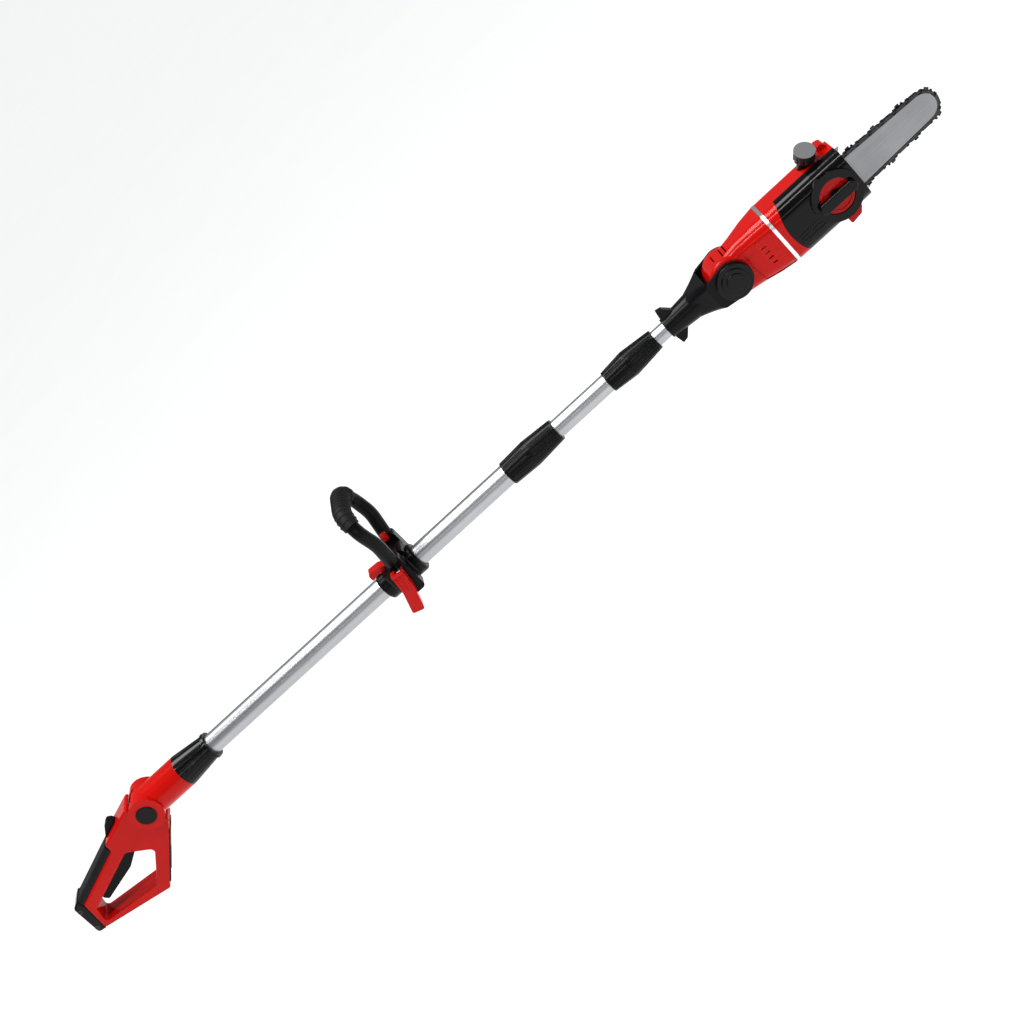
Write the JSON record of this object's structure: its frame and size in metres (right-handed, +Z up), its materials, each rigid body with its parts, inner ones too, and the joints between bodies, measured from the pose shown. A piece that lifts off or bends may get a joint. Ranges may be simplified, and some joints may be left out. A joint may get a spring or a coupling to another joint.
{
  "type": "telescoping pole saw",
  "caption": "Cordless pole saw with a swivelling rear handle, sliding bow handle, twist-lock telescoping pole and a small chainsaw head that tilts.",
  "frame": {"origin": "on the pole's centre line, at the middle of the bare tube that a storage clip holds", "axes": "+X along the pole towards the saw head, +Y to the user's left, +Z up towards the bow handle"},
  "size_m": [1.5954, 0.1169, 0.2521],
  "materials": {
    "red_plastic": "glossy moulded plastic with a fine orange peel",
    "black_plastic": "satin textured black plastic",
    "cover_plastic": "smooth satin-gloss black plastic",
    "soft_rubber": "dark grey soft overmould, ribbed",
    "grey_plastic": "dark grey plastic",
    "tube_aluminium": "satin anodised, drawn along its length",
    "band_metal": "bright silver trim ring",
    "bar_steel": "ground satin steel",
    "chain_steel": "dark oiled steel",
    "hardware_steel": "zinc plated steel",
    "spring_steel": "drawn spring wire",
    "motor_steel": "pressed steel can",
    "contact_brass": "plated contacts"
  },
  "bodies": {
    "pole": {"outer_tube": "tube_aluminium", "pole_socket": "red_plastic", "socket_collar": "black_plastic", "swivel_pin": "hardware_steel", "hub_caps": "black_plastic", "lower_collar_base": "black_plastic", "lower_collet": "grey_plastic"},
    "rear_handle": {"handle_shell_right": "red_plastic", "handle_shell_left": "red_plastic", "shell_screws": "hardware_steel", "grip_pad": "soft_rubber", "foot_cap": "soft_rubber", "foot_screws": "hardware_steel", "trigger_spring": "spring_steel", "switch_block": "grey_plastic", "battery_dock": "black_plastic", "battery_terminals": "contact_brass"},
    "trigger": {"trigger": "black_plastic"},
    "lock_off": {"lock_off_button": "black_plastic"},
    "loop_clamp": {"clamp_body": "black_plastic", "release_tab_pin": "hardware_steel"},
    "release_tab": {"release_tab": "red_plastic"},
    "loop_handle": {"loop_bow": "black_plastic", "loop_grip": "soft_rubber", "bow_bolt": "hardware_steel", "bow_nut": "red_plastic", "lever_pin": "hardware_steel"},
    "cam_lever": {"cam_lever": "red_plastic"},
    "lower_twist": {"lower_twist_sleeve": "black_plastic"},
    "middle_stage": {"middle_tube": "tube_aluminium", "upper_collar_base": "black_plastic", "upper_collet": "grey_plastic"},
    "upper_twist": {"upper_twist_sleeve": "black_plastic"},
    "inner_stage": {"inner_tube": "tube_aluminium", "neck": "black_plastic", "tilt_bolt": "hardware_steel", "tilt_nut": "black_plastic"},
    "tilt_knob": {"tilt_knob": "cover_plastic"},
    "head": {"detent_disc": "hardware_steel", "housing_right": "red_plastic", "housing_left": "red_plastic", "housing_band": "band_metal", "motor": "motor_steel", "gear_bulkhead": "grey_plastic", "shaft_bearings": "hardware_steel", "bar_stud": "hardware_steel", "guide_bar": "bar_steel", "saw_chain": "chain_steel", "sprocket_cover": "cover_plastic", "spike_bumper": "hardware_steel", "branch_hook": "red_plastic", "oil_tank": "black_plastic"},
    "motor_rotor": {"motor_pinion": "hardware_steel"},
    "sprocket": {"drive_gear": "hardware_steel", "sprocket_shaft": "hardware_steel", "drive_sprocket": "hardware_steel"},
    "nose_sprocket": {"nose_sprocket": "hardware_steel"},
    "tension_ring": {"tension_ring": "red_plastic"},
    "cover_knob": {"cover_knob": "cover_plastic"},
    "oil_cap": {"oil_cap": "black_plastic"}
  },
  "joints": [
    {"name": "handle_swivel", "type": "hinge", "parent": "pole", "child": "rear_handle", "pos_m": [-0.608, 0, 0], "axis": [0, 1, 0], "range_deg": [-14, 20]},
    {"name": "trigger_pull", "type": "hinge", "parent": "rear_handle", "child": "trigger", "pos_m": [-0.682, 0, -0.019], "axis": [0, 1, 0], "range_deg": [0, 4], "stiffness_Nm_per_rad": 6, "springref_deg": -6.88},
    {"name": "lock_off_press", "type": "slide", "parent": "rear_handle", "child": "lock_off", "axis": [0.309, 0, -0.9511], "range_m": [0, 0.003], "stiffness_N_per_m": 900, "springref_m": -0.0012},
    {"name": "clamp_slide", "type": "slide", "parent": "pole", "child": "loop_clamp", "axis": [1, 0, 0], "range_m": [-0.3, 0.15]},
    {"name": "release_tab_press", "type": "hinge", "parent": "loop_clamp", "child": "release_tab", "pos_m": [-0.121, 0, 0.0196], "axis": [0, 1, 0], "range_deg": [-7, 0], "stiffness_Nm_per_rad": 2, "springref_deg": 5.73},
    {"name": "bow_tilt", "type": "hinge", "parent": "loop_clamp", "child": "loop_handle", "pos_m": [-0.101, 0, 0.023], "axis": [0, 1, 0], "range_deg": [-35, 35]},
    {"name": "cam_lever_turn", "type": "hinge", "parent": "loop_handle", "child": "cam_lever", "pos_m": [-0.101, -0.0505, 0.023], "axis": [1, 0, 0], "range_deg": [-90, 0]},
    {"name": "lower_twist", "type": "hinge", "parent": "pole", "child": "lower_twist", "pos_m": [0.144, 0, 0], "axis": [1, 0, 0], "range_deg": [0, 90]},
    {"name": "lower_telescope", "type": "slide", "parent": "pole", "child": "middle_stage", "axis": [1, 0, 0], "range_m": [-0.08, 0.4]},
    {"name": "upper_twist", "type": "hinge", "parent": "middle_stage", "child": "upper_twist", "pos_m": [0.315, 0, 0], "axis": [1, 0, 0], "range_deg": [0, 90]},
    {"name": "upper_telescope", "type": "slide", "parent": "middle_stage", "child": "inner_stage", "axis": [1, 0, 0], "range_m": [-0.015, 0.4]},
    {"name": "head_tilt", "type": "hinge", "parent": "inner_stage", "child": "head", "pos_m": [0.4595, 0, 0], "axis": [0, 1, 0], "range_deg": [-45, 45]},
    {"name": "tilt_knob_turn", "type": "hinge", "parent": "inner_stage", "child": "tilt_knob", "pos_m": [0.4595, 0, 0], "axis": [0, 1, 0], "range_deg": [0, 180]},
    {"name": "sprocket_spin", "type": "hinge", "parent": "head", "child": "sprocket", "pos_m": [0.573, 0, -0.0035], "axis": [0, 1, 0], "continuous": true},
    {"name": "motor_spin", "type": "hinge", "parent": "head", "child": "motor_rotor", "pos_m": [0.512, 0, -0.0035], "axis": [1, 0, 0], "continuous": true},
    {"name": "nose_spin", "type": "hinge", "parent": "head", "child": "nose_sprocket", "pos_m": [0.7614, 0, -0.0035], "axis": [0, 1, 0], "continuous": true},
    {"name": "tension_ring_turn", "type": "hinge", "parent": "head", "child": "tension_ring", "pos_m": [0.6177, 0, -0.0035], "axis": [0, 1, 0], "range_deg": [-60, 60]},
    {"name": "cover_knob_turn", "type": "hinge", "parent": "head", "child": "cover_knob", "pos_m": [0.6177, 0, -0.0035], "axis": [0, 1, 0], "range_deg": [0, 180]},
    {"name": "oil_cap_turn", "type": "hinge", "parent": "head", "child": "oil_cap", "pos_m": [0.6132, 0.0058, 0.0346], "axis": [0.4192, -0.499, 0.7585], "range_deg": [0, 90]}
  ],
  "couplings": [
    {"joint": "motor_spin", "follows": "sprocket_spin", "ratio": 4},
    {"joint": "nose_spin", "follows": "sprocket_spin", "ratio": 0.6}
  ]
}
